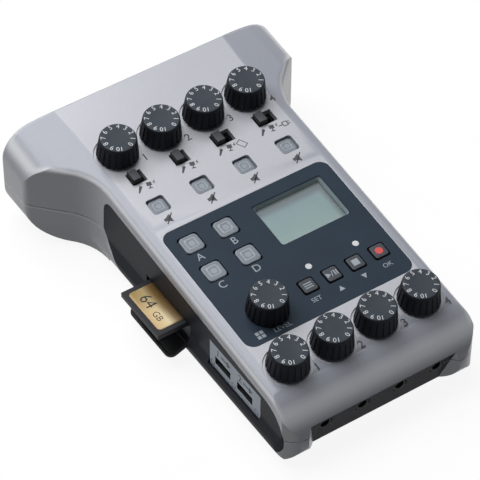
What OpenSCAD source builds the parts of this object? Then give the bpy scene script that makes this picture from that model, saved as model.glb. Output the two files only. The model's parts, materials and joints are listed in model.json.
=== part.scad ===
// Table-top podcast recorder: a wedge-shaped case with two rear wings, nine knobs, four slide
// switches, twelve keys, a display, a memory card behind a door, four rear input sockets and
// four headphone jacks in the nose.
// Frame: +X to the right, +Y to the rear, +Z up. The origin is on the table, under the case's middle.
// Panel coordinates: x to the right, y up the slope from the rear knob row, z out of the surface.

/* [Case] */
// Width across the two rear wings
case_w = 115; // [112:1:120]
// Depth from the nose to the rear face
case_d = 156; // [154:1:162]
// Width of the body in front of the wings
body_w = 79; // [78:1:84]
// Height of the control surface at the rear knob row
panel_h = 38.2; // [37.6:0.2:42]
// Slope of the control surface, down to the front
panel_tilt = 5.35; // [4.6:0.05:5.8]
// Distance from the rear edge to the rear knob row, along the slope
row_back = 29.2; // [28.4:0.2:31]
// Wall thickness of both shells
wall = 2.4; // [2.2:0.1:2.8]
// Wall thickness in the nose, behind the flat with the jacks
nose_wall = 6; // [5.8:0.1:6.4]
// Height of the underside above the table
foot_h = 2; // [1.5:0.1:3]
// Height of the parting line half-way along the case
seam_h = 15.2; // [15:0.1:15.6]
// Slope of the parting line, down to the front
seam_tilt = 2; // [1.8:0.1:2.2]
// Gap between the shells at the parting line
seam_gap = 0.3; // [0.2:0.1:0.5]
// Radius over the nose
nose_r = 18; // [14:0.5:18]
// Radius under the nose
chin_r = 7.5; // [5:0.5:7.5]
// Depth of the flat cut into the nose for the jacks, at the height of the jacks
flat_depth = 2.3; // [2:0.1:2.6]
// Angle by which the flat leans in towards the underside
flat_lean = 15; // [10:1:16]
// Width of the flat
flat_w = 58; // [56:1:64]
// Radius of the body's front corners, seen from above
corner_r = 9.5; // [6:0.5:10]
// Radius along the body's upper side edges
edge_r = 3; // [2:0.25:4]
// Radius along the body's lower side edges
keel_r = 5; // [3:0.5:5.5]
// How far the lower side edges stand out beyond the upper ones
lip_out = 1.4; // [1:0.1:2]
// Height of the top of that lip
lip_h = 12; // [11:0.5:13]

/* [Wings] */
// Length of a wing's end face
wing_len = 15; // [14:0.5:16]
// Angle at which a wing spreads from the body
wing_spread = 45; // [40:1:50]
// Radius of the hollow flare between body and wing
flare_r = 22; // [14:1:26]
// Radius of a wing's front corner, seen from above
wing_corner_r = 5; // [3:0.5:7]
// Radius over a wing's end
wing_top_r = 12; // [9:0.5:13]
// Radius under a wing's end
wing_keel_r = 12; // [9:0.5:12]
// Distance from the middle to the crease where a wing's top begins to fall
crease_x = 35; // [32:0.5:38]
// Fall of a wing's top
wing_fall = 6; // [3:0.5:9]

/* [Knobs] */
// Spacing of the four channels
channel_pitch = 18; // [17.4:0.1:18.6]
// How far the row of headphone knobs stands behind the nose's upper edge
row_set = 1.8; // [1.4:0.1:2.4]
// Diameter of a knob at its foot
knob_d = 15.4; // [14:0.2:16]
// Diameter of a knob at its top
knob_top_d = 13.5; // [12:0.1:13.8]
// Height of a knob above the surface
knob_h = 8.8; // [7.5:0.1:10]
// Number of grip flutes round a knob
knob_flutes = 20; // [12:1:28]
// Radius of a flute
flute_r = 0.55; // [0.3:0.05:0.8]
// Diameter of a potentiometer's shaft
shaft_d = 6; // [5:0.1:6.2]
// Diameter of the shallow dish round a knob
dish_d = 17.2; // [16.6:0.1:17.6]
// Depth of the dish
dish_depth = 0.5; // [0.3:0.1:0.8]

/* [Switches and keys] */
// Distance of the input switches from the row of gain knobs
slide_row = 12.6; // [12.2:0.1:13]
// Length of a slot with two positions
slot_2 = 6; // [5.6:0.1:6.6]
// Length of a slot with three positions
slot_3 = 7.9; // [7.6:0.1:8.6]
// Width of a slot
slot_w = 5.6; // [5.2:0.1:6]
// Length of a switch slider along its slot
slider_l = 3.4; // [3:0.1:3.8]
// Height of a slider above the surface
slider_h = 2.2; // [1.6:0.1:2.8]
// Distance of the mute keys from the row of gain knobs
mute_row = 27; // [26:0.1:27.6]
// Width of a mute key
mute_w = 6.4; // [6:0.1:6.8]
// Depth of a mute key's top below the surface
mute_sink = 0.7; // [0.4:0.1:1]
// Width of a sound pad
pad_w = 7.5; // [7:0.1:8]
// Height of a sound pad above the control panel
pad_rise = 0.3; // [0.2:0.1:1]
// Spacing of the sound pads
pad_pitch = 14; // [13.6:0.1:14.6]
// Width of a transport key
key_w = 5.8; // [5.4:0.1:6.4]
// Height of a transport key above the control panel
key_rise = 0.4; // [0.3:0.1:0.8]
// Spacing of the transport keys
key_pitch = 9.85; // [9.7:0.05:10.2]
// Travel of the keys and pads
key_travel = 0.6; // [0.4:0.05:0.8]

/* [Control panel] */
// Width of the control panel
plate_w = 68.8; // [66:0.2:70]
// Length of the control panel, as a share of the way between the two knob rows
plate_share = 0.527; // [0.522:0.001:0.532]
// Thickness of the control panel
plate_t = 1.6; // [1.4:0.1:1.8]
// Corner radius of the control panel
plate_r = 4; // [2:0.5:6]
// Place of the control panel's middle, as a share of the same way
plate_mid_share = 0.6273; // [0.625:0.001:0.63]
// Radius of an indicator lens
lens_r = 1.2; // [0.8:0.1:1.4]
// Width of the display opening
display_w = 29; // [26:0.2:30]
// Length of the display opening
display_l = 20; // [18:0.2:20.6]

/* [Sockets and card] */
// Distance of the outer input sockets' axes from the wing ends
socket_side = 17.9; // [17.4:0.1:18.4]
// Inner diameter of an input socket
socket_d = 19.4; // [18.8:0.1:19.8]
// Width of the socket's rim that shows in the hole of the case
socket_lip = 0.8; // [0.7:0.05:0.9]
// Diameter of an input socket's insert
insert_d = 15.2; // [14:0.2:15.6]
// Height of the input sockets' axes
socket_h = 21; // [20:0.2:22]
// Spacing of the headphone jacks
jack_pitch = 15.4; // [15:0.1:15.8]
// Bore of a 3.5 mm jack
jack_bore = 3.6; // [3.55:0.01:3.7]
// Depth of a jack's bore
jack_depth = 12.4; // [11.6:0.1:12.6]
// Width of the memory card
card_w = 24; // [23.5:0.1:24.5]
// Length of the memory card
card_l = 32; // [30:0.5:33]
// Thickness of the memory card
card_t = 2.1; // [1.4:0.1:2.3]
// How far the card stands out of the side
card_out = 11.4; // [10:0.1:12]
// Height of the card's middle
card_h = 15.4; // [15.2:0.1:15.8]
// How far forward of the case's middle the card lies
card_y = -2.8; // [-3.2:0.1:-2.4]
// How far the card door stands open, from shut
door_open = 112; // [100:1:115]
// Height of the card door
door_l = 9.6; // [9.4:0.1:10]

/* [Battery and feet] */
// Diameter of a cell
cell_d = 14.2; // [13.8:0.1:14.4]
// Length of a cell
cell_l = 50.2; // [49:0.1:50.4]
// Diameter of a rubber foot
foot_d = 9; // [7:0.5:10]
// Diameter of a case screw
screw_d = 2.5; // [2:0.1:2.6]

/* [Clearances] */
// Gap round parts that move in an opening
run_gap = 0.35; // [0.3:0.05:0.4]
// Gap between a shaft or pin and its bore
pin_gap = 0.08; // [0.05:0.01:0.1]
// Gap round pieces that are set into the case
fit_gap = 0.12; // [0.1:0.02:0.2]

/* [Hidden] */
$fn = 48;
arc_steps = 10;
flare_steps = 6;
floor_z = foot_h;
row_y = case_d / 2 - row_back * cos(panel_tilt);
half_w = case_w / 2;
half_body = body_w / 2;
wing_corner_y = case_d / 2 - wing_len;
split_y = wing_corner_y - (half_w - half_body) * tan(wing_spread) - flare_r * tan(wing_spread / 2);
inner_corner_y = wing_corner_y + wall * tan(wing_spread / 2) + 0.6;
nose_h = panel_z(-case_d / 2) - floor_z;
nose_round = min(nose_r, (nose_h - chin_r - 0.2) / tan(45 - panel_tilt / 2));
nose_c = [-case_d / 2 + nose_round, panel_z(-case_d / 2) - nose_round / tan(45 + panel_tilt / 2)];
channel_x = [for (i = [0:3]) (i - 1.5) * channel_pitch];
row_gap = (row_y + case_d / 2 - nose_round - row_set) / cos(panel_tilt);
plate_l = plate_share * row_gap;
plate_row = plate_mid_share * row_gap;
socket_pitch = (half_w - socket_side) / 1.5;
board_top = -8;
board_t = 1.4;
main_z = 8;
main_t = 1.6;
main_top = main_z + main_t;
skin_t = 1.3;
switch_h = 2;
plunger_r = 1.5;
plunger_foot = board_top + switch_h + key_travel + run_gap;
jack_w = 8;
big = 300;

// Inner side of the body wall
inner_x = half_body - wall;
// Back of the side panels and of the pockets that hold them
pocket_x = half_body - skin_t - fit_gap;

// Control panel layout, in panel coordinates
pad_x = -19.4;
display_x = 14.5;
key_x = 12.6;
panel_rim = 5.3;
panel_mid = -plate_row + plate_l / 2 - panel_rim - display_l / 2;
pad_centre = [pad_x, panel_mid];
pad_knob_at = [pad_x - 0.5, -0.787 * row_gap];
display_at = [display_x, panel_mid];
key_row_at = [key_x, -0.7751 * row_gap];
lens_row = -0.7101 * row_gap;
pad_at = [for (y = [1, -1], x = [-1, 1]) pad_centre + [x, y] * pad_pitch / 2];
key_at = [for (i = [0:3]) [key_row_at[0] + (i - 1.5) * key_pitch, key_row_at[1]]];
lens_at = [for (i = [0, 2]) [(key_at[i][0] + key_at[i + 1][0]) / 2, lens_row]];

// Knob and shaft
knob_gap = 0.3;
shaft_top = knob_h - 2;
shaft_foot = -6.6;
pot_w = 9.6;
pot_l = 10.6;

// Battery bay, open downwards, under the right half of the case
bay_gap = 0.5;
bay_wall = 1.2;
bay_w = 2 * cell_d + 3 * bay_gap;
bay_l = cell_l + 3.6;
bay_y = 7;
bay_at = [inner_x - bay_wall - 0.4 - bay_w / 2, bay_y];
bay_top = floor_z + wall + cell_d + bay_gap;
cover_t = 2;
cover_gap = 0.4;
cover_hinge = [bay_at[1] + bay_l / 2 - cover_gap - cover_t / 2, floor_z + cover_t / 2];

// Case screws: three behind the rear pots, two in the nose
boss_r = screw_d / 2 + 1.5;
screw_back = row_y + pot_l / 2 + 1.3;
screw_front = -case_d / 2 + nose_wall + 4.6;
screw_x = [channel_x[3] + pot_w / 2 + boss_r + 1.45, (1.5 * jack_pitch + jack_w / 2 + pocket_x) / 2];
screw_at = [[0, screw_back], [-screw_x[0], screw_back], [screw_x[0], screw_back],
            [-screw_x[1], screw_front], [screw_x[1], screw_front]];

// Posts that carry the panel board, in panel coordinates
post_r = 2;
post_x = half_body - 6.3;
post_row = plate_row - plate_l / 2 - 5.55;
post_at = [[0, 0], [0, -row_gap], [-post_x, -post_row], [post_x, -post_row]];

// Posts that carry the main board, and the rubber feet
main_post_r = 2.4;
main_post_at = [[-30, 28], [-8, -24], [-26, -case_d / 2 + 20], [26, -case_d / 2 + 34]];
foot_sink = 0.6;
foot_back = screw_back + screw_d + foot_d / 2 + 0.8;
foot_at = [for (x = [-1, 1], y = [-1, 1])
    [x * (y > 0 ? half_w - 16.5 : half_body - 14.5), y > 0 ? foot_back : -case_d / 2 + 20]];
link_at = [-22, 30];

// Input sockets
socket_face = case_d / 2 - wall - 0.1;
socket_back = row_y + 11;
insert_sink = 3;
insert_face = socket_face - insert_sink;
contact_r = 1.3;
contact_ring = 4.6;

// Nose flat, jacks, side ports
flat_y = -case_d / 2 + flat_depth;
jack_z = seam_z(flat_y);
jack_face = flat_y + 0.6;
jack_hole_r = 3.1;
nozzle_r = 2.75;
port_z = 14.8;
port_at = [-case_d / 2 + 40.3, -case_d / 2 + 26.8];
port_w = 9;
port_h = 3.3;
port_plate = [31, 11.6, 0.8];
port_plate_at = [-case_d / 2 + 32.8, 16.1];
phone_y = -case_d / 2 + 24;
phone_z = seam_z(phone_y);
power_y = bay_y - bay_l / 2 - bay_wall - 10.9;
power_z = seam_z(power_y);
power_slot = [12, 3.6];
power_cap = [6.4, 2.8];
power_travel = (power_slot[0] - power_cap[0]) / 2 - run_gap;

// Card door: shut, it stands in the side panel's opening, on a hinge along its lower edge
door_w = 27.4;
door_t = 1;
door_hinge = [-half_body + door_t / 2, 7.7];
door_gap_low = 1.6;
door_y = card_y - 0.6;

// Colours that several pieces share
knob_black = [0.12, 0.13, 0.15];
key_clear = [0.75, 0.78, 0.8];
key_dark = [0.25, 0.26, 0.3];

// Height of the control surface over a point of the table
function panel_z(y) = panel_h + (y - row_y) * tan(panel_tilt);

// Height of the outer surface along the middle of the case, over the nose too
function roof_z(y) = y > nose_c[0] ? panel_z(y) : nose_c[1] + sqrt(nose_round * nose_round - pow(y - nose_c[0], 2));

// Height of the parting line over a point of the table
function seam_z(y) = seam_h + y * tan(seam_tilt);

// Points of the arc that rounds the corner p between its neighbours a and b; p[2] is the radius
function corner(a, p, b) =
    let (pa = [a[0] - p[0], a[1] - p[1]], pb = [b[0] - p[0], b[1] - p[1]])
    let (u = pa / norm(pa), v = pb / norm(pb))
    let (half = acos(u * v) / 2, c = [p[0], p[1]] + (u + v) / norm(u + v) * p[2] / sin(half))
    let (s = [p[0], p[1]] + u * p[2] / tan(half) - c, e = [p[0], p[1]] + v * p[2] / tan(half) - c)
    let (a0 = atan2(s[1], s[0]), turn = atan2(s[0] * e[1] - s[1] * e[0], s * e))
    [for (k = [0:arc_steps]) c + p[2] * [cos(a0 + turn * k / arc_steps), sin(a0 + turn * k / arc_steps)]];

// Outline with each corner [x, y, radius] rounded
function rounded(pts) =
    [for (i = [0:len(pts) - 1])
        each (pts[i][2] <= 0 ? [[pts[i][0], pts[i][1]]]
            : corner(pts[(i + len(pts) - 1) % len(pts)], pts[i], pts[(i + 1) % len(pts)]))];

// Right half of an outline, completed by its mirror image
function both_sides(pts) =
    concat(pts, [for (i = [len(pts) - 1:-1:0]) [-pts[i][0], pts[i][1], pts[i][2]]]);

// Places children that are drawn in panel coordinates
module on_panel(at = [0, 0])
    translate([0, row_y, panel_h])
        rotate([panel_tilt, 0, 0])
            translate([at[0], at[1], 0])
                children();

// Rounded rectangle, centred
module rounded_square(w, l, r) {
    square([w - 2 * r, l], center = true);
    square([w, l - 2 * r], center = true);
    for (x = [-1, 1], y = [-1, 1])
        translate([x * (w / 2 - r), y * (l / 2 - r)])
            circle(r);
}

// Rounded block from z0 to z1, centred
module rounded_block(w, l, r, z0, z1)
    translate([0, 0, z0])
        linear_extrude(z1 - z0)
            rounded_square(w, l, r);

// Plain block from z0 to z1, centred
module block(w, l, z0, z1)
    translate([-w / 2, -l / 2, z0])
        cube([w, l, z1 - z0]);

// Extrudes a drawing of the side view (y, z) across the case, between two x positions
module across(x0, x1)
    translate([x0, 0, 0])
        rotate([90, 0, 90])
            linear_extrude(x1 - x0)
                children();

// Round bar along Y, from y0 to y1
module bar_y(r, y0, y1, x, z)
    translate([x, y0, z])
        rotate([-90, 0, 0])
            cylinder(r = r, h = y1 - y0);

// Round bar along X, from x0 to x1
module bar_x(r, x0, x1, y, z)
    translate([x0, y, z])
        rotate([0, 90, 0])
            cylinder(r = r, h = x1 - x0);

// Runs a drawing of the front view (x, z) along the case
module lengthwise()
    translate([0, big / 2, 0])
        rotate([90, 0, 0])
            linear_extrude(big)
                children();

// Cross-section of body or wings: the upper outline follows the slope, the lower one lies level
module section(upper, lower)
    intersection() {
        on_panel()
            lengthwise()
                polygon(rounded(both_sides(upper)));
        lengthwise()
            polygon(rounded(both_sides(lower)));
    }

// Fall of the top beyond the crease, at x
function fall(x) = -max(x - crease_x, 0) * tan(wing_fall);

// Side view of the case, drawn in by i and at the nose by n, with the upper edges' radii
module side_view(i, n, rear_r, front_r)
    across(-half_w - 1, half_w + 1)
        polygon(rounded([
            [-case_d / 2 + n, floor_z + i, max(chin_r - n, 1)],
            [case_d / 2 - i, floor_z + i, 0],
            [case_d / 2 - i, panel_z(case_d / 2 - i) - i, rear_r],
            [-case_d / 2 + n, panel_z(-case_d / 2 + n) - i, front_r]]));

// Half-space behind a flare's wall where the wall has turned by a, with the upper edge rounded
module flare_side(a) {
    x = half_body + flare_r * (1 - cos(a));
    y = split_y + flare_r * sin(a);
    kx = -tan(wing_fall) / cos(panel_tilt);
    ky = tan(panel_tilt);
    pitch = atan(kx * sin(a) + ky * cos(a));
    lean = (kx * cos(a) - ky * sin(a)) * cos(pitch);
    arc = corner([0, -1], [0, 0, edge_r], [-1, -lean]);
    end = arc[arc_steps];
    translate([x, y, panel_z(y) + (x - crease_x) * kx])
        rotate([0, 0, -a])
            rotate([pitch, 0, 0])
                lengthwise()
                    polygon(concat([[-case_w, -big / 2], [0, -big / 2]], arc,
                                   [[end[0], big / 4], [-case_w, big / 4]]));
}

// What the flare leaves open beside the body on the right
module flare_air()
    difference() {
        translate([crease_x, split_y - 1, -1])
            cube([half_w, case_d / 2 + 2 - split_y, big / 4]);
        for (k = [0:flare_steps])
            flare_side(wing_spread * k / flare_steps);
    }

// What the rounding takes off a wing's front corner
module wing_corner_air() {
    arc = corner([half_w, case_d / 2], [half_w, wing_corner_y, wing_corner_r],
                 [half_w - 1, wing_corner_y - tan(wing_spread)]);
    translate([0, 0, -1])
        linear_extrude(big / 4)
            polygon(concat(arc, [[half_w + 3, wing_corner_y - 6], [half_w + 3, arc[0][1]]]));
}

// The case as a solid block
module case_form()
    intersection() {
        union() {
            intersection() {
                section(
                    [[half_body + lip_out, -big / 3, 0], [half_body + lip_out, -13, 0], [half_body, -11, 0],
                     [half_body, fall(half_body), edge_r], [crease_x, 0, 0]],
                    [[half_body, big / 3, 0], [half_body, lip_h + 1, 4],
                     [half_body + lip_out, lip_h - 4, 3], [half_body + lip_out, floor_z, keel_r]]);
                translate([0, 0, -1])
                    linear_extrude(big)
                        polygon(rounded(both_sides([
                            [half_body + lip_out, -case_d / 2, corner_r],
                            [half_body + lip_out, case_d / 2 + 1, 0]])));
            }
            difference() {
                section(
                    [[half_w, -big / 3, 0], [half_w, fall(half_w), wing_top_r], [crease_x, 0, 0]],
                    [[half_w, big / 3, 0], [half_w, floor_z, wing_keel_r]]);
                translate([-big / 2, split_y - big, -big / 2])
                    cube(big);
                for (m = [0, 1])
                    mirror([m, 0, 0]) {
                        flare_air();
                        wing_corner_air();
                    }
            }
        }
        side_view(0, 0, 1, nose_round);
    }

// The room inside the case
module cavity()
    intersection() {
        union() {
            section(
                [[inner_x, -big / 3, 0], [inner_x, fall(half_body) - wall, 0.6], [crease_x - wall, -wall, 0]],
                [[inner_x, big / 3, 0], [inner_x, floor_z + wall, keel_r - wall]]);
            difference() {
                section(
                    [[half_w - wall, -big / 3, 0], [half_w - wall, fall(half_w) - wall, wing_top_r - wall],
                     [crease_x - wall, -wall, 0]],
                    [[half_w - wall, big / 3, 0], [half_w - wall, floor_z + wall, wing_keel_r - wall]]);
                translate([-big / 2, split_y - big, -big / 2])
                    cube(big);
            }
        }
        translate([0, 0, -1])
            linear_extrude(big)
                polygon(rounded(both_sides([
                    [inner_x, -case_d / 2 + nose_wall, corner_r - wall],
                    [inner_x, inner_corner_y - (half_w - half_body) * tan(wing_spread), flare_r + wall],
                    [half_w - wall, inner_corner_y, wing_corner_r - wall],
                    [half_w - wall, case_d / 2 - wall, 0]])));
        side_view(wall, nose_wall, 0, 0.8 * (nose_round - nose_wall));
    }

// Side view outline of a side panel, grown by c
module side_outline(c) {
    top_drop = 4.2 - c;
    front = -case_d / 2 + 4 - c;
    tip = split_y + 3 + c;
    low = floor_z + 2 - c;
    high = panel_z(front) - top_drop;
    polygon(rounded([
        [front, low, (high - low) * 0.32],
        [tip - 15, low, 10],
        [tip, 14, 8],
        [tip - 1, panel_z(tip) - top_drop - 1, 5],
        [front, high, (high - low) * 0.64]]));
}

// Cuts that both shells share: cavity, jack flat, jack holes, rear sockets, side pockets, side ports
module shared_cuts() {
    cavity();
    intersection() {
        across(-half_body, half_body)
            polygon([[flat_y - 30 * tan(flat_lean), jack_z + 30], [flat_y + jack_z * tan(flat_lean), 0],
                     [-case_d, 0], [-case_d, jack_z + 30]]);
        linear_extrude(big / 4)
            polygon([[-flat_w / 2 + 6, flat_y + 6], [flat_w / 2 - 6, flat_y + 6],
                     [flat_w / 2 + 6, flat_y - 6], [-flat_w / 2 - 6, flat_y - 6]]);
    }
    for (x = [-1.5:1.5])
        bar_y(jack_hole_r, flat_y - 1, flat_y + nose_wall, x * jack_pitch, jack_z);
    for (x = [-1.5:1.5])
        bar_y(socket_d / 2 + socket_lip, case_d / 2 - 2 * wall, case_d / 2 + 1, x * socket_pitch, socket_h);
    for (s = [-1, 1])
        across(s > 0 ? pocket_x : -half_w, s > 0 ? half_w : -pocket_x)
            side_outline(fit_gap);
    translate([-half_body - 1, card_y - card_w / 2 - 2 * run_gap, card_h - card_t / 2 - 2 * run_gap])
        cube([wall + 2, card_w + 4 * run_gap, card_t + 4 * run_gap]);
    for (y = port_at)
        translate([-half_body - 1, y - port_w / 2 - fit_gap, port_z - port_h / 2 - fit_gap])
            cube([wall + 2, port_w + 2 * fit_gap, port_h + 2 * fit_gap]);
    bar_x(jack_hole_r, half_body - 2 * wall, half_body + 3, phone_y, phone_z);
    translate([half_body - wall - 1, power_y - power_slot[0] / 2, power_z - power_slot[1] / 2])
        cube([wall + 4, power_slot[0], power_slot[1]]);
}

// Half-space above the parting line, from c over it
module above_seam(c)
    translate([0, 0, seam_h + c])
        rotate([seam_tilt, 0, 0])
            translate([-big / 2, -big / 2, 0])
                cube(big);

// Half-space below the parting line, from c under it
module below_seam(c)
    translate([0, 0, seam_h - c])
        rotate([seam_tilt, 0, 0])
            translate([-big / 2, -big / 2, -big])
                cube(big);

module top_shell() {
    color("silver")
    difference() {
        intersection() {
            union() {
                difference() {
                    case_form();
                    shared_cuts();
                }
                for (p = screw_at)
                    translate([p[0], p[1], seam_z(p[1]) - 1])
                        cylinder(r = boss_r, h = roof_z(p[1] - boss_r) - wall / 2 - seam_z(p[1]) + 1);
                for (p = post_at)
                    on_panel(p)
                        translate([0, 0, board_top])
                            cylinder(r = post_r, h = -board_top - wall / 2);
            }
            above_seam(seam_gap / 2);
        }
        for (p = screw_at)
            translate([p[0], p[1], seam_z(p[1]) - 1])
                cylinder(r = screw_d / 2 + pin_gap, h = 10);
        for (x = channel_x, y = [0, -row_gap])
            on_panel([x, y]) {
                translate([0, 0, -2 * wall])
                    cylinder(r = shaft_d / 2 + 2 * run_gap, h = 3 * wall);
                translate([0, 0, -dish_depth])
                    cylinder(d = dish_d, h = wall);
            }
        for (i = [0:3]) {
            on_panel([channel_x[i], -slide_row])
                block(slot_length(i), slot_w, -2 * wall, wall);
            on_panel([channel_x[i], -mute_row])
                rounded_block(mute_w + 2 * run_gap, mute_w + 2 * run_gap, 1.2, -2 * wall, wall);
        }
        on_panel([0, -plate_row]) {
            rounded_block(plate_w + 2 * fit_gap, plate_l + 2 * fit_gap, plate_r, -plate_t, wall);
            rounded_block(plate_w - 6, plate_l - 6, 1, -3 * wall, wall);
        }
    }
}

function slot_length(i) = i < 2 ? slot_2 : slot_3;

// Battery bay walls and the posts that carry the main board
module bay_walls(grow, z0, z1)
    translate([bay_at[0], bay_at[1], 0])
        block(bay_w + 2 * grow, bay_l + 2 * grow, z0, z1);

module bottom_shell() {
    color("silver")
    difference() {
        union() {
            intersection() {
                union() {
                    difference() {
                        case_form();
                        shared_cuts();
                    }
                    for (p = screw_at)
                        translate([p[0], p[1], floor_z + wall / 2])
                            cylinder(r = boss_r, h = seam_z(p[1]) - floor_z);
                }
                below_seam(seam_gap / 2);
            }
            bay_walls(bay_wall, floor_z + wall / 2, bay_top + bay_wall);
            for (p = main_post_at)
                translate([p[0], p[1], floor_z + wall / 2])
                    cylinder(r = main_post_r, h = main_z - floor_z - wall / 2);
        }
        bay_walls(0, floor_z - 1, bay_top);
        for (s = [-1, 1])
            bar_x(0.6 + pin_gap, bay_at[0] + s * bay_w / 2 - 1.4, bay_at[0] + s * bay_w / 2 + 1.4,
                  cover_hinge[0], cover_hinge[1]);
        for (p = screw_at)
            translate([p[0], p[1], floor_z - 1]) {
                cylinder(r = screw_d / 2 + pin_gap, h = seam_z(p[1]));
                cylinder(r = screw_d + fit_gap, h = 1 + 2.2);
            }
        for (p = foot_at)
            translate([p[0], p[1], floor_z - 1])
                cylinder(r = foot_d / 2 + fit_gap, h = 1 + foot_sink);
    }
}

// Skin set into the side of the case, trimmed to the case's outer surface
module side_panel(s)
    intersection() {
        case_form();
        across(s > 0 ? half_body - skin_t : -half_w, s > 0 ? half_w : -half_body + skin_t)
            side_outline(0);
    }

module side_panel_left() {
    color([0.14, 0.15, 0.18])
    difference() {
        side_panel(-1);
        translate([-half_body - 3, door_y - door_w / 2 - run_gap, door_hinge[1] - door_t / 2 - door_gap_low])
            cube([wall + 4, door_w + 2 * run_gap, door_l + door_t / 2 + door_gap_low + run_gap]);
        bar_y(0.35 + pin_gap, door_y - door_w / 2 - 1.2, door_y + door_w / 2 + 1.2,
              door_hinge[0], door_hinge[1]);
        translate([-half_body - 3, port_plate_at[0] - port_plate[0] / 2 - fit_gap,
                   port_plate_at[1] - port_plate[1] / 2 - fit_gap])
            cube([3 + port_plate[2], port_plate[0] + 2 * fit_gap, port_plate[1] + 2 * fit_gap]);
        for (y = port_at)
            translate([-half_body - 1, y - port_w / 2 - fit_gap, port_z - port_h / 2 - fit_gap])
                cube([wall + 2, port_w + 2 * fit_gap, port_h + 2 * fit_gap]);
    }
}

module side_panel_right() {
    color([0.14, 0.15, 0.18])
    difference() {
        side_panel(1);
        bar_x(jack_hole_r, half_body - 2 * wall, half_body + 3, phone_y, phone_z);
        translate([half_body - wall - 1, power_y - power_slot[0] / 2, power_z - power_slot[1] / 2])
            cube([wall + 4, power_slot[0], power_slot[1]]);
    }
}

module control_panel() {
    color([0.22, 0.26, 0.3])
    on_panel()
    difference() {
        translate([0, -plate_row, 0])
            rounded_block(plate_w, plate_l, plate_r - fit_gap, -plate_t, 0);
        translate([display_at[0], display_at[1], 0])
            rounded_block(display_w, display_l, 0.8, -wall, wall);
        for (p = pad_at)
            translate([p[0], p[1], 0])
                rounded_block(pad_w + 2 * run_gap, pad_w + 2 * run_gap, 1.3, -wall, wall);
        for (p = key_at)
            translate([p[0], p[1], 0])
                rounded_block(key_w + 2 * run_gap, key_w + 2 * run_gap, 1, -wall, wall);
        for (p = lens_at)
            translate([p[0], p[1], -wall])
                cylinder(r = lens_r + fit_gap, h = 2 * wall);
        translate([pad_knob_at[0], pad_knob_at[1], -wall])
            cylinder(r = shaft_d / 2 + 2 * run_gap, h = 2 * wall);
    }
}

module display_window() {
    color([0.8, 0.9, 0.9, 0.4])
    on_panel(display_at)
        block(display_w + 2, display_l + 2, -plate_t - 0.8, -plate_t);
}

module display_module() {
    color([0.56, 0.64, 0.63])
    on_panel(display_at)
        block(display_w + 3, display_l + 3, board_top, -plate_t - 0.8);
}

module indicator_lenses() {
    color("white")
    for (p = lens_at)
        on_panel(p)
            translate([0, 0, board_top])
                cylinder(r = lens_r, h = -board_top);
}

// Fluted knob with a blind bore, and the shaft that it is pressed on
module knob() {
    difference() {
        translate([0, 0, knob_gap]) {
            cylinder(d1 = knob_d, d2 = knob_top_d, h = knob_h - knob_gap - 0.5);
            translate([0, 0, knob_h - knob_gap - 0.5])
                cylinder(d1 = knob_top_d, d2 = knob_top_d - 1, h = 0.5);
        }
        translate([0, 0, -1])
            cylinder(r = shaft_d / 2 + pin_gap / 2, h = shaft_top + 1.2);
        for (k = [0:knob_flutes - 1])
            rotate([0, 0, 360 * k / knob_flutes])
                translate([knob_d / 2, 0, 0])
                    rotate([0, -atan((knob_d - knob_top_d) / 2 / knob_h), 0])
                        cylinder(r = flute_r, h = knob_h - 1.4, $fn = 24);
    }
    translate([0, 0, shaft_foot])
        cylinder(d = shaft_d, h = shaft_top - shaft_foot);
}

module gain_knob(i)
    on_panel([channel_x[i], 0])
        knob();

module gain_knob_1()
    color(knob_black)
        gain_knob(0);

module gain_knob_2()
    color(knob_black)
        gain_knob(1);

module gain_knob_3()
    color(knob_black)
        gain_knob(2);

module gain_knob_4()
    color(knob_black)
        gain_knob(3);

module headphone_knob(i)
    on_panel([channel_x[i], -row_gap])
        knob();

module headphone_knob_1()
    color(knob_black)
        headphone_knob(0);

module headphone_knob_2()
    color(knob_black)
        headphone_knob(1);

module headphone_knob_3()
    color(knob_black)
        headphone_knob(2);

module headphone_knob_4()
    color(knob_black)
        headphone_knob(3);

module pad_volume_knob()
    color(knob_black)
        on_panel(pad_knob_at)
            knob();

// Slider at the left end of its slot, with the stem that reaches into the switch
module input_switch(i)
    on_panel([channel_x[i] - slot_length(i) / 2 + run_gap + slider_l / 2, -slide_row]) {
        block(slider_l, slot_w - 2 * run_gap, -wall + 0.2, slider_h);
        block(1.6, 1.6, -wall - 2, -wall + 0.3);
    }

module input_switch_1()
    color(knob_black)
        input_switch(0);

module input_switch_2()
    color(knob_black)
        input_switch(1);

module input_switch_3()
    color(knob_black)
        input_switch(2);

module input_switch_4()
    color(knob_black)
        input_switch(3);

// Key with a plunger that reaches down to its switch
module key(w, r, foot, top) {
    rounded_block(w, w, r, foot, top);
    translate([0, 0, plunger_foot])
        cylinder(r = plunger_r, h = foot - plunger_foot + 0.1);
}

module mute_key(i)
    on_panel([channel_x[i], -mute_row])
        key(mute_w, 1, -3.4, -mute_sink);

module mute_key_1()
    color(key_clear)
        mute_key(0);

module mute_key_2()
    color(key_clear)
        mute_key(1);

module mute_key_3()
    color(key_clear)
        mute_key(2);

module mute_key_4()
    color(key_clear)
        mute_key(3);

module sound_pad(i)
    on_panel(pad_at[i])
        key(pad_w, 1.1, -3, pad_rise);

module sound_pad_a()
    color(key_clear)
        sound_pad(0);

module sound_pad_b()
    color(key_clear)
        sound_pad(1);

module sound_pad_c()
    color(key_clear)
        sound_pad(2);

module sound_pad_d()
    color(key_clear)
        sound_pad(3);

module transport_key(i)
    on_panel(key_at[i])
        key(key_w, 0.8, -3, key_rise);

module menu_key()
    color(key_dark)
        transport_key(0);

module play_key()
    color(key_dark)
        transport_key(1);

module stop_key()
    color(key_dark)
        transport_key(2);

module record_key()
    color(key_dark)
        transport_key(3);

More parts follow.
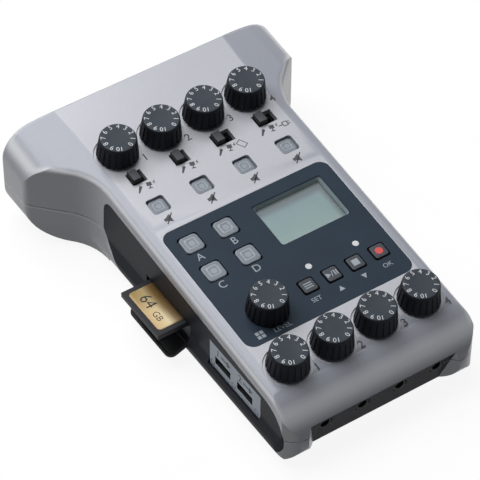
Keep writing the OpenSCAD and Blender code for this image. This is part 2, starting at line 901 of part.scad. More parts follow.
// Card with one cut corner, standing out of the left side
module sd_card() {
    color([0.75, 0.65, 0.35])
    translate([-half_body - card_out, card_y, card_h - card_t / 2])
        linear_extrude(card_t)
            polygon([[0, -card_w / 2], [card_l, -card_w / 2], [card_l, card_w / 2 - 4],
                     [card_l - 4, card_w / 2], [0, card_w / 2]]);
}

// Flap on a hinge along its lower edge, drawn open
module sd_door() {
    color([0.12, 0.12, 0.14])
    translate([door_hinge[0], door_y, door_hinge[1]])
        rotate([0, -door_open, 0]) {
            translate([-door_t / 2, -door_w / 2, 0])
                cube([door_t, door_w, door_l]);
            translate([0, -door_w / 2, 0])
                rotate([-90, 0, 0])
                    cylinder(r = door_t / 2, h = door_w);
            translate([0, -door_w / 2 - 1, 0])
                rotate([-90, 0, 0])
                    cylinder(r = 0.35, h = door_w + 2);
        }
}

module port_plate() {
    color([0.65, 0.7, 0.76])
    difference() {
        translate([-half_body, port_plate_at[0] - port_plate[0] / 2, port_plate_at[1] - port_plate[1] / 2])
            cube([port_plate[2], port_plate[0], port_plate[1]]);
        for (y = port_at)
            translate([-half_body - 1, y - port_w / 2 - fit_gap, port_z - port_h / 2 - fit_gap])
                cube([wall + 2, port_w + 2 * fit_gap, port_h + 2 * fit_gap]);
    }
}

// Slider in the right side, with a stem into the switch behind the wall
module power_switch() {
    color([0.1, 0.1, 0.12])
    translate([0, power_y, power_z]) {
        translate([inner_x + run_gap, -power_cap[0] / 2, -power_cap[1] / 2])
            cube([half_body + 0.8 - inner_x - run_gap, power_cap[0], power_cap[1]]);
        translate([inner_x - 2, -0.8, -0.8])
            cube([2 + 2 * run_gap, 1.6, 1.6]);
    }
}

module power_switch_body() {
    color([0.3, 0.3, 0.32])
    difference() {
        translate([inner_x - 6, power_y - 7, main_top])
            cube([6 - run_gap, 14, power_z - main_top + 3]);
        translate([inner_x - 2.6, power_y - power_travel - 0.8 - run_gap, power_z - 0.8 - run_gap])
            cube([4, 2 * (power_travel + 0.8 + run_gap), 2 * (0.8 + run_gap)]);
    }
}

// Lid of the battery bay, on two pins along its rear edge
module battery_cover() {
    color("silver")
    translate([bay_at[0], 0, 0]) {
        translate([-bay_w / 2 + cover_gap, bay_at[1] - bay_l / 2 + cover_gap, floor_z])
            cube([bay_w - 2 * cover_gap, cover_hinge[0] - bay_at[1] + bay_l / 2 - cover_gap, cover_t]);
        bar_x(cover_t / 2, -bay_w / 2 + cover_gap, bay_w / 2 - cover_gap, cover_hinge[0], cover_hinge[1]);
        bar_x(0.6, -bay_w / 2 - 1, bay_w / 2 + 1, cover_hinge[0], cover_hinge[1]);
    }
}

module panel_board() {
    color([0.1, 0.35, 0.2])
    difference() {
        on_panel() {
            y0 = -row_gap - pot_l / 2 - 0.6;
            translate([-half_body + 5.5, y0, board_top - board_t])
                cube([body_w - 11, pot_l / 2 + 0.2 - y0, board_t]);
        }
        for (p = screw_at)
            translate([p[0], p[1], main_top])
                cylinder(r = boss_r + run_gap, h = panel_h);
    }
}

module main_board() {
    color([0.1, 0.35, 0.2])
    difference() {
        translate([-inner_x + 1, -case_d / 2 + nose_wall + 4, main_z])
            cube([2 * inner_x - 2, row_y + 7 + case_d / 2 - nose_wall - 4, main_t]);
        bay_walls(bay_wall + fit_gap, 0, big / 10);
        translate([bay_at[0], bay_at[1] - bay_l / 2 - bay_wall, main_z - 1])
            cube([inner_x, bay_l + 2 * bay_wall, main_t + 2]);
        for (p = screw_at)
            translate([p[0], p[1], main_z - 1])
                cylinder(r = boss_r + fit_gap, h = main_t + 2);
    }
}

// Connector that joins the two boards
module board_link() {
    color([0.15, 0.15, 0.16])
    difference() {
        translate([link_at[0], link_at[1], 0])
            block(18, 5, main_top, panel_h);
        on_panel()
            translate([-big / 2, -big / 2, board_top - board_t])
                cube(big);
    }
}

// Potentiometer body with the bearing of its shaft
module pot() {
    difference() {
        block(pot_w, pot_l, board_top, -wall - 0.2);
        translate([0, 0, shaft_foot - 0.6])
            cylinder(r = shaft_d / 2 + pin_gap, h = -shaft_foot + 1);
    }
}

module gain_pots() {
    color([0.35, 0.4, 0.45])
    for (x = channel_x)
        on_panel([x, 0])
            pot();
}

module headphone_pots() {
    color([0.35, 0.4, 0.45])
    for (x = channel_x)
        on_panel([x, -row_gap])
            pot();
}

module pad_pot() {
    color([0.35, 0.4, 0.45])
    on_panel(pad_knob_at)
        pot();
}

module slide_switch_bodies() {
    color([0.6, 0.6, 0.62])
    for (i = [0:3])
        on_panel([channel_x[i], -slide_row])
            difference() {
                block(11, 6.4, board_top, -wall - 0.2);
                block(slot_length(i) - slider_l + 1.6, 1.6 + 2 * run_gap, -wall - 2 - run_gap, 0);
            }
}

module key_switches() {
    color([0.2, 0.2, 0.22])
    for (p = concat([for (x = channel_x) [x, -mute_row]], pad_at, key_at))
        on_panel(p)
            block(6, 6, board_top, board_top + switch_h);
}

// Card socket on the main board, open to the left
module sd_socket() {
    color([0.7, 0.7, 0.72])
    difference() {
        translate([-inner_x + 0.6, card_y - card_w / 2 - 2, main_top])
            cube([card_l, card_w + 4, card_h - main_top + card_t / 2 + 1.4]);
        translate([-half_body, card_y - card_w / 2 - run_gap, card_h - card_t / 2 - run_gap])
            cube([card_l + 2.2, card_w + 2 * run_gap, card_t + 2 * run_gap]);
    }
}

module usb_sockets() {
    color([0.75, 0.75, 0.78])
    for (y = port_at)
        translate([-half_body + port_plate[2], y, port_z])
            difference() {
                union() {
                    translate([0, -port_w / 2, -port_h / 2])
                        cube([8, port_w, port_h]);
                    translate([skin_t + wall, -port_w / 2, main_top - port_z])
                        cube([5, port_w, port_z - main_top]);
                }
                translate([-1, -port_w / 2 + 0.3, -port_h / 2 + 0.3])
                    cube([7.5, port_w - 0.6, port_h - 0.6]);
            }
}

// Jack body with a round nozzle and a blind bore, drawn along +Y from its face
module jack(h) {
    difference() {
        union() {
            rotate([-90, 0, 0])
                cylinder(r = nozzle_r, h = nose_wall);
            translate([-jack_w / 2, nose_wall - 1.8, -h])
                cube([jack_w, jack_depth + 2.8 - nose_wall, 2 * h]);
        }
        translate([0, -1, 0])
            rotate([-90, 0, 0])
                cylinder(d = jack_bore, h = jack_depth + 1);
    }
}

module headphone_jacks() {
    color([0.15, 0.15, 0.17])
    for (x = [-1.5:1.5])
        translate([x * jack_pitch, jack_face, jack_z])
            jack(jack_z - main_top);
}

module phone_jack() {
    color([0.15, 0.15, 0.17])
    translate([half_body - 0.6, phone_y, phone_z])
        rotate([0, 0, 90])
            jack(phone_z - main_top);
}

module xlr_shells() {
    color([0.2, 0.2, 0.22])
    for (x = [-1.5:1.5])
        difference() {
            bar_y(socket_d / 2 + 1, socket_back, socket_face, x * socket_pitch, socket_h);
            bar_y(socket_d / 2, socket_back + 1.5, socket_face + 1, x * socket_pitch, socket_h);
        }
}

module xlr_inserts() {
    color([0.1, 0.1, 0.11])
    for (x = [-1.5:1.5])
        difference() {
            bar_y(insert_d / 2, socket_back + 1.5, insert_face, x * socket_pitch, socket_h);
            for (a = [30, 150, 270])
                bar_y(contact_r, socket_back + 3, insert_face + 1,
                      x * socket_pitch + contact_ring * cos(a), socket_h + contact_ring * sin(a));
        }
}

module xlr_contacts() {
    color([0.8, 0.7, 0.4])
    for (x = [-1.5:1.5], a = [30, 150, 270])
        difference() {
            bar_y(contact_r - 0.05, socket_back + 3, insert_face - 0.6,
                  x * socket_pitch + contact_ring * cos(a), socket_h + contact_ring * sin(a));
            bar_y(contact_r - 0.35, socket_back + 4, insert_face + 1,
                  x * socket_pitch + contact_ring * cos(a), socket_h + contact_ring * sin(a));
        }
}

// Two cells side by side, head to tail
module batteries() {
    color([0.2, 0.3, 0.45])
    for (s = [-1, 1])
        translate([bay_at[0] + s * (cell_d + bay_gap) / 2, bay_at[1], bay_top - cell_d / 2 - 0.1]) {
            bar_y(cell_d / 2, -cell_l / 2 + (s < 0 ? 1.5 : 0), cell_l / 2 - (s > 0 ? 1.5 : 0), 0, 0);
            bar_y(2.6, s < 0 ? -cell_l / 2 : cell_l / 2 - 1.6, s < 0 ? -cell_l / 2 + 1.6 : cell_l / 2, 0, 0);
        }
}

// Contact plates at both ends of the bay
module battery_contacts() {
    color([0.8, 0.8, 0.82])
    for (s = [-1, 1], e = [-1, 1])
        translate([bay_at[0] + s * (cell_d + bay_gap) / 2, bay_at[1] + e * (bay_l / 2 - 0.3), 0]) {
            block(10, 0.5, bay_top - 11, bay_top - 2);
            bar_y(2.4, e > 0 ? -(bay_l - cell_l) / 2 + 0.4 : 0.2, e > 0 ? -0.2 : (bay_l - cell_l) / 2 - 0.4,
                  0, bay_top - cell_d / 2 - 0.1);
        }
}

module rubber_feet() {
    color([0.12, 0.12, 0.12])
    for (p = foot_at)
        translate([p[0], p[1], 0])
            cylinder(d = foot_d, h = floor_z + foot_sink);
}

module case_screws() {
    color([0.3, 0.3, 0.32])
    for (p = screw_at)
        translate([p[0], p[1], floor_z + 0.4])
            difference() {
                union() {
                    cylinder(r = screw_d, h = 1.8);
                    cylinder(d = screw_d, h = seam_z(p[1]) + 7 - floor_z);
                }
                for (a = [0, 90])
                    rotate([0, 0, a])
                        block(2.6, 0.6, -1, 0.9);
            }
}

top_shell();
bottom_shell();
side_panel_left();
side_panel_right();
control_panel();
display_window();
display_module();
indicator_lenses();
gain_knob_1();
gain_knob_2();
gain_knob_3();
gain_knob_4();
headphone_knob_1();
headphone_knob_2();
headphone_knob_3();
headphone_knob_4();
pad_volume_knob();
input_switch_1();
input_switch_2();
input_switch_3();
input_switch_4();
mute_key_1();
mute_key_2();
mute_key_3();
mute_key_4();
sound_pad_a();
sound_pad_b();
sound_pad_c();
sound_pad_d();
menu_key();
play_key();
stop_key();
record_key();
sd_card();
sd_door();
port_plate();
power_switch();
battery_cover();
panel_board();
main_board();
board_link();
gain_pots();
headphone_pots();
pad_pot();
slide_switch_bodies();
key_switches();
power_switch_body();
sd_socket();
usb_sockets();
headphone_jacks();
phone_jack();
xlr_shells();
xlr_inserts();
xlr_contacts();
batteries();
battery_contacts();
rubber_feet();
case_screws();
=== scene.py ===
"""Podcast recorder: the looks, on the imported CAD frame. Lengths are in mm unless a name says otherwise."""
import json
import math

import bmesh
import bpy
from mathutils import Matrix, Vector


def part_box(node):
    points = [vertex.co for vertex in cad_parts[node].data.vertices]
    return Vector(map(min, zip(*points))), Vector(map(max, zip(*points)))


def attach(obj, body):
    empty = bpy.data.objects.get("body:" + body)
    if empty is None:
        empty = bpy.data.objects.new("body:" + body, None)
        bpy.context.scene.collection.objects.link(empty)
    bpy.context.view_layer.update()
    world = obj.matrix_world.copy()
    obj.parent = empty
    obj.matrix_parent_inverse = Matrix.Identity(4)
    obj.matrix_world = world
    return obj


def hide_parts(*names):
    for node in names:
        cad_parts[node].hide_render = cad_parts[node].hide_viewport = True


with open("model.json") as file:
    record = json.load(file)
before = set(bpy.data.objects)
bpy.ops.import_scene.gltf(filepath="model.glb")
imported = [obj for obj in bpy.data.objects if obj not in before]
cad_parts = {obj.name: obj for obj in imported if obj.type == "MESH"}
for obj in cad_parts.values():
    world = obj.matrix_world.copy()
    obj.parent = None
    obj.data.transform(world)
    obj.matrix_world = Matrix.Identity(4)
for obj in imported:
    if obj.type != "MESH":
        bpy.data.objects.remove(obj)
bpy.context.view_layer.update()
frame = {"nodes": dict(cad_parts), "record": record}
nodes = frame["nodes"]
scene = bpy.context.scene

# Panel coordinates: origin in the middle of the gain knobs' row, x right, y to the rear, z off the surface
TILT = math.radians(5.35)
PANEL = Matrix.Translation((0, 48.927, 38.2)) @ Matrix.Rotation(TILT, 4, "X")
CHANNELS = (-27, -9, 9, 27)
SWITCH_ROW = -12.6
MUTE_ROW = -27
FRONT_ROW = -107.6
PAD_KNOB = (-19.9, -84.68)
PADS = {"a": (-26.4, -47.45), "b": (-12.4, -47.45), "c": (-26.4, -61.45), "d": (-12.4, -61.45)}
KEYS = {"menu": -2.175, "play": 7.675, "stop": 17.525, "record": 27.375}
KEY_ROW = -83.4
DISPLAY = (14.5, -54.45)
KEY_PIN_FOOT = -5.05

# Case coordinates: the open card door's hinge, the left side's face, the card's label
DOOR = Matrix.Translation((-39, -3.4, 7.7)) @ Matrix.Rotation(math.radians(-112), 4, "Y")
SIDE = Matrix.Translation((-39.5, 0, 0)) @ Matrix(((0, 0, -1, 0), (-1, 0, 0, 0), (0, 1, 0, 0), (0, 0, 0, 1)))
LABEL_AT = (-39.2, -2.8)
LABEL_Z = 16.48

# How far printing stands off its surface, and the bend from which an edge of a new mesh is sharp
INK_Z = 0.02
SHARP_EDGE = math.radians(32)

# The jack flat in the nose, in metres: how it leans, and where it ends to the sides and to the rear
JACK_LEAN = math.radians(15)
JACK_SIDES_M = (0.0302, 0.0307)
JACK_REAR_M = (-0.0715, -0.0705)

# Where the patterns run, in metres: the label out of the slot with its painted light, the cells, the display's border
# and painted shadow to the rear and to the right
LABEL_RUN_M = (-0.0494, -0.039)
CELL_RUN_M = (-0.018, 0.032)
DISPLAY_RUN_M = (-0.0155, 0.0046)
DISPLAY_RIGHT_M = (0.0255, 0.0275)


# Materials

def linear(rgb):
    """A colour written as 0 to 255 in sRGB, as the shader's linear values."""
    return tuple(c / 255 / 12.92 if c < 10.3 else ((c / 255 + 0.055) / 1.055) ** 2.4 for c in rgb) + (1.0,)


def plug(tree, value, socket):
    """Links another node's output to a socket, or sets the socket to a plain value."""
    if isinstance(value, bpy.types.NodeSocket):
        tree.links.new(value, socket)
    else:
        socket.default_value = value


def node(tree, kind, **inputs):
    """A node with its inputs set to values or linked to other nodes' outputs."""
    made = tree.nodes.new(kind)
    for name, value in inputs.items():
        plug(tree, value, made.inputs[name.replace("_", " ")])
    return made


def ramp(tree, factor, *stops):
    """A colour ramp; each stop is a position and an sRGB colour."""
    made = node(tree, "ShaderNodeValToRGB", Fac=factor)
    band = made.color_ramp.elements
    while len(band) < len(stops):
        band.new(0.5)
    for element, (at, rgb) in zip(band, stops):
        element.position = at
        element.color = linear(rgb)
    return made.outputs["Color"]


def mixed(tree, factor, a, b, blend="MIX"):
    """Two colours mixed by a factor."""
    made = tree.nodes.new("ShaderNodeMix")
    made.data_type = "RGBA"
    made.blend_type = blend
    for value, socket in ((factor, 0), (a, 6), (b, 7)):
        plug(tree, value, made.inputs[socket])
    return made.outputs[2]


def ranged(tree, value, low, high, start=0.0, end=1.0):
    """A value mapped from start..end to low..high."""
    return node(tree, "ShaderNodeMapRange", Value=value, From_Min=start, From_Max=end, To_Min=low,
                To_Max=high).outputs["Result"]


def maths(tree, operation, *values):
    """A value worked out from one or two others."""
    made = tree.nodes.new("ShaderNodeMath")
    made.operation = operation
    for value, socket in zip(values, made.inputs):
        plug(tree, value, socket)
    return made.outputs[0]


def product(tree, a, b):
    """Two values multiplied."""
    return maths(tree, "MULTIPLY", a, b)


def greatest(tree, first, *others):
    """The largest of several values."""
    for other in others:
        first = maths(tree, "MAXIMUM", first, other)
    return first


def absolute(tree, value):
    """A value without its sign."""
    return maths(tree, "ABSOLUTE", value)


def dot(tree, a, b):
    """How far two directions agree."""
    made = tree.nodes.new("ShaderNodeVectorMath")
    made.operation = "DOT_PRODUCT"
    plug(tree, a, made.inputs[0])
    plug(tree, b, made.inputs[1])
    return made.outputs["Value"]


def axes(tree, vector):
    """A vector's X, Y and Z."""
    return node(tree, "ShaderNodeSeparateXYZ", Vector=vector).outputs


def surface(tree, kind):
    """A fact of the surface: Normal as shaded, True Normal of the face, or Backfacing."""
    return node(tree, "ShaderNodeNewGeometry").outputs[kind]


def shade(rgb, k):
    """A colour made lighter or darker."""
    return tuple(min(255, c * k) for c in rgb)


# How far edges look rounded, and how deep the relief is
ROUND_M = 0.00018
RELIEF_M = 0.0001


def finish(name, rgb, rough, vary=0.06, blotch=70, grain=5200, relief=0.06, wear=0.0, worn=(205, 207, 211),
           stretch=(1, 1, 1), pattern=None, gloss=None, **fixed):
    """A material with clouded colour, grained roughness and relief, softened edges and rubbed corners."""
    mat = bpy.data.materials.new(name)
    mat.use_nodes = True
    tree = mat.node_tree
    shader = tree.nodes["Principled BSDF"]
    where = node(tree, "ShaderNodeTexCoord").outputs["Object"]
    drawn = node(tree, "ShaderNodeMapping", Vector=where, Scale=stretch).outputs["Vector"]
    cloud = node(tree, "ShaderNodeTexNoise", Vector=where, Scale=blotch, Detail=4.0).outputs["Fac"]
    fine = node(tree, "ShaderNodeTexNoise", Vector=drawn, Scale=grain, Detail=2.0).outputs["Fac"]
    if pattern:
        colour = pattern(tree, where)
    else:
        colour = ramp(tree, cloud, (0.3, shade(rgb, 1 - vary)), (0.7, shade(rgb, 1 + vary)))
    edge = node(tree, "ShaderNodeBevel", Radius=ROUND_M)
    edge.samples = 6
    if wear:
        bend = dot(tree, edge.outputs["Normal"], surface(tree, "Normal"))
        rubbed = ranged(tree, bend, wear, 0.0, 0.72, 0.98)
        colour = mixed(tree, product(tree, rubbed, cloud), colour, linear(worn))
    tree.links.new(colour, shader.inputs["Base Color"])
    tree.links.new(ranged(tree, fine, rough * 0.85, min(1, rough * 1.15), 0.3, 0.7), shader.inputs["Roughness"])
    bump = node(tree, "ShaderNodeBump", Strength=relief, Distance=RELIEF_M, Height=fine,
                Normal=edge.outputs["Normal"])
    tree.links.new(bump.outputs["Normal"], shader.inputs["Normal"])
    if gloss:
        tree.links.new(gloss(tree, where), shader.inputs["Specular IOR Level"])
    for socket, value in fixed.items():
        shader.inputs[socket.replace("_", " ")].default_value = value
    return mat


def jack_face(tree, where):
    """1 on the leaning flat of the nose that holds the jacks, 0 elsewhere."""
    lean = dot(tree, surface(tree, "True Normal"), (0, -math.cos(JACK_LEAN), -math.sin(JACK_LEAN)))
    spot = axes(tree, where)
    within = product(tree, ranged(tree, lean, 0, 1, 0.9994, 0.9998),
                     ranged(tree, absolute(tree, spot["X"]), 1, 0, *JACK_SIDES_M))
    return product(tree, within, ranged(tree, spot["Y"], 1, 0, *JACK_REAR_M))


# What the top's normal has for Z: the flat is above these values, the slopes beside it are below
FLAT_TOP = (0.9946, 0.9953)


def paint_flop(tree):
    """Painted shade and painted highlight by how the surface faces: pale on the flat top, darker on slopes and to the
    front.
    """
    facing = axes(tree, surface(tree, "Normal"))
    slope = ramp(tree, facing["Z"], (0.0, (255, 255, 255)), (0.3, (224, 226, 231)), (0.6, (248, 249, 252)),
                 (0.72, (246, 247, 250)), (0.84, (210, 213, 219)), (0.95, (206, 209, 216)), (1.0, (222, 225, 231)))
    # painted highlight: the flat top is made paler than the slopes around it
    level = ranged(tree, facing["Z"], 0, 1, *FLAT_TOP)
    tone = mixed(tree, level, slope, linear((250, 250, 252)))
    # painted shade on the wing's tilted facets
    tilted = product(tree, ranged(tree, absolute(tree, facing["X"]), 0, 1, 0.07, 0.1),
                     ranged(tree, facing["Z"], 0, 1, 0.7, 0.88))
    tone = mixed(tree, tilted, tone, linear((206, 209, 216)))
    # painted shade on faces turned to the front
    front = ranged(tree, facing["Y"], 1, 0, -0.99, -0.8)
    return mixed(tree, front, tone, linear((198, 202, 210)))


def crown(tree, normal, most):
    """A painted highlight: the given share where a surface is turned about half upwards, 0 on the flats."""
    rise = axes(tree, normal)["Z"]
    return product(tree, ranged(tree, rise, 0, most, 0.4, 0.6), ranged(tree, rise, 1, 0, 0.68, 0.84))


# The painted highlight along the sides and the wing: how wide it is, and how far out from the middle it starts
HIGHLIGHT_BEVEL_M = 0.0045
HIGHLIGHT_FROM_M = (0.036, 0.039)


def edge_crown(tree, where):
    """How much painted highlight lies on rounded edges: on all of them a little, more along the sides and the wing.
    """
    plain = crown(tree, surface(tree, "Normal"), 0.45)
    bent = node(tree, "ShaderNodeBevel", Radius=HIGHLIGHT_BEVEL_M)
    bent.samples = 8
    outer = ranged(tree, absolute(tree, axes(tree, where)["X"]), 0, 1, *HIGHLIGHT_FROM_M)
    return greatest(tree, plain, product(tree, outer, crown(tree, bent.outputs["Normal"], 0.8)))


def paint_flakes(tree, where):
    """Silver paint: small flakes of slightly different brightness over a slow drift, with painted shade and painted
    highlight mixed in.
    """
    flakes = node(tree, "ShaderNodeTexVoronoi", Vector=where, Scale=5200.0).outputs["Color"]
    drift = node(tree, "ShaderNodeTexNoise", Vector=where, Scale=26.0, Detail=3.0).outputs["Fac"]
    light = ramp(tree, flakes, (0.1, (195, 197, 204)), (0.9, (203, 205, 211)))
    dark = ramp(tree, flakes, (0.1, (191, 193, 200)), (0.9, (198, 200, 206)))
    paint = mixed(tree, drift, light, dark)
    # painted shade and painted highlight by how the surface faces
    paint = mixed(tree, 1.0, paint, paint_flop(tree), "MULTIPLY")
    # painted highlight along the rounded edges, mixed over the paint
    paint = mixed(tree, edge_crown(tree, where), paint, linear((240, 242, 245)))
    # the jack flat is painted dark grey: partly a darker face, partly painted shade of that flat
    return mixed(tree, jack_face(tree, where), paint, linear((80, 81, 87)))


def paint_gloss(tree, where):
    """Silver paint: the flat round the jacks is dull."""
    return ranged(tree, jack_face(tree, where), 0.5, 0.005)


def board_pattern(tree, where):
    """Circuit board: solder mask with runs of track and small pads."""
    runs = node(tree, "ShaderNodeTexWave", Vector=where, Scale=260.0, Distortion=14.0, Detail=2.0).outputs["Fac"]
    dots = node(tree, "ShaderNodeTexVoronoi", Vector=where, Scale=420.0).outputs["Distance"]
    mask = ramp(tree, runs, (0.45, (18, 74, 48)), (0.55, (30, 100, 66)))
    pads = ranged(tree, dots, 1.0, 0.0, 0.12, 0.16)
    return mixed(tree, pads, mask, linear((196, 178, 120)))


def gold_foil(tree, where):
    """Gold label: brushed along the card, with a painted highlight that makes it pale towards the outer end and
    painted shadow that makes it brown towards the slot.
    """
    drawn = node(tree, "ShaderNodeMapping", Vector=where, Scale=(40, 900, 1)).outputs["Vector"]
    lines = node(tree, "ShaderNodeTexNoise", Vector=drawn, Scale=6.0, Detail=4.0).outputs["Fac"]
    along = ranged(tree, axes(tree, where)["X"], 0, 1, *LABEL_RUN_M)
    # painted highlight pale in the middle of the run, painted shadow of the case dark brown towards the slot
    tone = ramp(tree, along, (0.0, (168, 136, 80)), (0.3, (190, 164, 110)), (0.5, (204, 186, 140)),
                (0.75, (134, 106, 62)), (1.0, (66, 52, 36)))
    return mixed(tree, ranged(tree, lines, 0.0, 0.3, 0.3, 0.7), tone, linear((150, 120, 68)))


def cell_sleeve(tree, where):
    """Printed sleeve of an AA cell: a copper end and a dark body, with a pale ring between."""
    along = ranged(tree, axes(tree, where)["Y"], 0, 1, *CELL_RUN_M)
    return ramp(tree, along, (0.0, (34, 38, 44)), (0.62, (38, 42, 50)), (0.66, (210, 208, 200)),
                (0.69, (176, 112, 66)), (1.0, (186, 122, 74)))


def display_face(tree, where):
    """Unlit display: grey green with the faint grid of its cells, and a dark border at the rear and the right that is
    partly its unlit margin and partly painted shadow.
    """
    cells = node(tree, "ShaderNodeTexBrick", Vector=where, Scale=2400.0, Mortar_Size=0.03).outputs["Fac"]
    spot = axes(tree, where)
    # to the rear: partly the display's unlit margin, partly painted shadow of the window's edge
    along = ranged(tree, spot["Y"], 0, 1, *DISPLAY_RUN_M)
    lcd_and_shadow = ramp(tree, along, (0.0, (142, 168, 166)), (0.6, (131, 161, 164)), (0.74, (125, 155, 160)),
                 (0.84, (92, 110, 119)), (1.0, (82, 98, 108)))
    # to the right: partly unlit margin, partly painted shadow of the window's edge
    side = ranged(tree, spot["X"], 0, 1, *DISPLAY_RIGHT_M)
    lcd_and_shadow = mixed(tree, side, lcd_and_shadow, linear((86, 103, 112)))
    return mixed(tree, ranged(tree, cells, 0.06, 0.0), lcd_and_shadow, linear((96, 112, 110)))


def port_face(tree, where):
    """Pale print on the face of the port plate; its edges and slots keep the dark plastic."""
    outward = axes(tree, surface(tree, "True Normal"))["X"]
    cloud = node(tree, "ShaderNodeTexNoise", Vector=where, Scale=90.0, Detail=3.0).outputs["Fac"]
    print_tone = ramp(tree, cloud, (0.3, (190, 203, 217)), (0.7, (200, 212, 226)))
    return mixed(tree, ranged(tree, outward, 1, 0, -0.9, -0.8), linear((24, 25, 28)), print_tone)


M = {
    "silver_shell": finish("silver_paint", (194, 196, 202), 0.3, relief=0.05, wear=0.3, pattern=paint_flakes,
                           gloss=paint_gloss, Metallic=0.03),
    "charcoal_panel": finish("charcoal_plastic", (28, 30, 38), 0.45, relief=0.2, grain=3600, wear=0.2,
                             worn=(76, 78, 86), Specular_IOR_Level=0.08),
    "slate_panel": finish("slate_plastic", (52, 64, 77), 0.3, vary=0.03, relief=0.03, wear=0.25,
                          worn=(110, 120, 128), Specular_IOR_Level=0.06),
    "clear_window": finish("clear_window", (226, 236, 236), 0.05, vary=0.01, relief=0.01, Alpha=0.14),
    "display_glass": finish("display_face", (142, 164, 163), 0.3, relief=0.02, pattern=display_face),
    "knob_black": finish("knob_rubber", (31, 33, 39), 0.55, relief=0.16, wear=0.2, worn=(80, 82, 88),
                         Specular_IOR_Level=0.1),
    "frosted_key": finish("frosted_key", (124, 132, 142), 0.42, vary=0.04, relief=0.1, wear=0.35,
                          worn=(206, 211, 217), Subsurface_Weight=0.35, Subsurface_Scale=0.002,
                          Subsurface_Radius=(1, 1, 1)),
    "dark_key": finish("dark_key", (64, 69, 77), 0.45, relief=0.12, wear=0.35, worn=(110, 114, 122),
                       Specular_IOR_Level=0.25),
    "black_plastic": finish("black_plastic", (26, 27, 30), 0.5, relief=0.14, wear=0.25, worn=(80, 82, 88),
                            Specular_IOR_Level=0.16),
    "circuit_board": finish("circuit_board", (24, 90, 58), 0.35, pattern=board_pattern),
    "plated_steel": finish("plated_steel", (176, 178, 182), 0.3, relief=0.05, stretch=(1, 12, 1), grain=2400,
                           Metallic=1.0),
    "contact_brass": finish("contact_brass", (206, 172, 104), 0.26, relief=0.05, Metallic=1.0),
    "foot_rubber": finish("foot_rubber", (32, 32, 34), 0.8, relief=0.4, grain=2600),
    "cell_can": finish("cell_sleeve", (60, 60, 66), 0.3, relief=0.02, pattern=cell_sleeve, Metallic=0.4),
    "card_plastic": finish("card_plastic", (40, 41, 46), 0.5, relief=0.12, wear=0.3, worn=(100, 102, 108),
                           Specular_IOR_Level=0.2),
    "port_label": finish("port_label", (176, 188, 200), 0.45, relief=0.06, pattern=port_face),
}
KNOB_TOP = finish("knob_top", (58, 65, 73), 0.45, vary=0.05, relief=0.1, blotch=160, Specular_IOR_Level=0.15)
# painted shade: the USB sockets' metal is made near black, as the shade inside the ports
PORT_SHADE = finish("port_shade", (34, 35, 38), 0.4, relief=0.08, Metallic=0.3, Specular_IOR_Level=0.2)
KEY_RING = finish("key_ring", (158, 166, 175), 0.36, vary=0.03, relief=0.08, Subsurface_Weight=0.3,
                  Subsurface_Scale=0.002, Subsurface_Radius=(1, 1, 1))
KEY_LAMP = finish("key_lamp", (146, 154, 164), 0.3, vary=0.04, relief=0.05)
SLIDER_TOP = finish("slider_top", (72, 74, 78), 0.5, vary=0.05, relief=0.1, Specular_IOR_Level=0.2)
SLOT_DARK = finish("slot_dark", (14, 14, 16), 0.6, relief=0.1, Specular_IOR_Level=0.1)
PALE_INK = finish("pale_ink", (216, 220, 224), 0.5, vary=0.03, relief=0.1)
GREY_INK = finish("grey_ink", (158, 166, 175), 0.5, vary=0.03, relief=0.1)
DARK_INK = finish("dark_ink", (46, 48, 54), 0.5, vary=0.04, relief=0.1)
RING_INK = finish("ring_ink", (112, 124, 138), 0.5, vary=0.03, relief=0.1)
RED_INK = finish("red_ink", (222, 74, 68), 0.45, vary=0.04, relief=0.1)
BLACK_INK = finish("black_ink", (24, 22, 20), 0.5, vary=0.04, relief=0.1)
LENS = finish("lens_white", (226, 229, 232), 0.25, vary=0.02, relief=0.04, Subsurface_Weight=0.4,
              Subsurface_Scale=0.001, Subsurface_Radius=(1, 1, 1))
GOLD = finish("gold_foil", (190, 158, 96), 0.3, relief=0.08, stretch=(1, 20, 1), pattern=gold_foil, Metallic=0.1)
BEZEL = finish("display_bezel", (46, 55, 64), 0.3, vary=0.04, relief=0.04, Specular_IOR_Level=0.1)
# painted light: the bezel's inner slope is paler than its rim, against the shade inside the window
BEZEL_SLOPE_LIT = finish("display_slope_lit", (140, 157, 162), 0.4, vary=0.04, relief=0.04, Specular_IOR_Level=0.2)


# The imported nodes: their own material, and normals that are smooth over arcs and sharp at edges

WELD_M = 0.000002
ARC_BEND = math.radians(24)


def soft_normals():
    """A modifier tree that joins a mesh's split edges and keeps only its sharp ones."""
    tree = bpy.data.node_groups.new("soft_normals", "GeometryNodeTree")
    tree.interface.new_socket("Geometry", in_out="INPUT", socket_type="NodeSocketGeometry")
    tree.interface.new_socket("Geometry", in_out="OUTPUT", socket_type="NodeSocketGeometry")
    start = tree.nodes.new("NodeGroupInput")
    weld = node(tree, "GeometryNodeMergeByDistance", Geometry=start.outputs[0], Distance=WELD_M)
    bend = node(tree, "GeometryNodeInputMeshEdgeAngle")
    test = tree.nodes.new("FunctionNodeCompare")
    test.operation = "GREATER_THAN"
    tree.links.new(bend.outputs["Unsigned Angle"], test.inputs[0])
    test.inputs[1].default_value = ARC_BEND
    normals = tree.nodes.new("GeometryNodeSetMeshNormal")
    tree.links.new(weld.outputs[0], normals.inputs["Mesh"])
    tree.links.new(test.outputs[0], normals.inputs["Edge Sharpness"])
    end = tree.nodes.new("NodeGroupOutput")
    tree.links.new(normals.outputs[0], end.inputs[0])
    return tree


SOFT = soft_normals()
SLOT = {part["node"]: part["material_slot"] for part in frame["record"]["subparts"]}
for name, thing in nodes.items():
    thing.data.materials.clear()
    thing.data.materials.append(M[SLOT[name]])
    thing.modifiers.new("soft_normals", "NODES").node_group = SOFT


# Mesh helpers

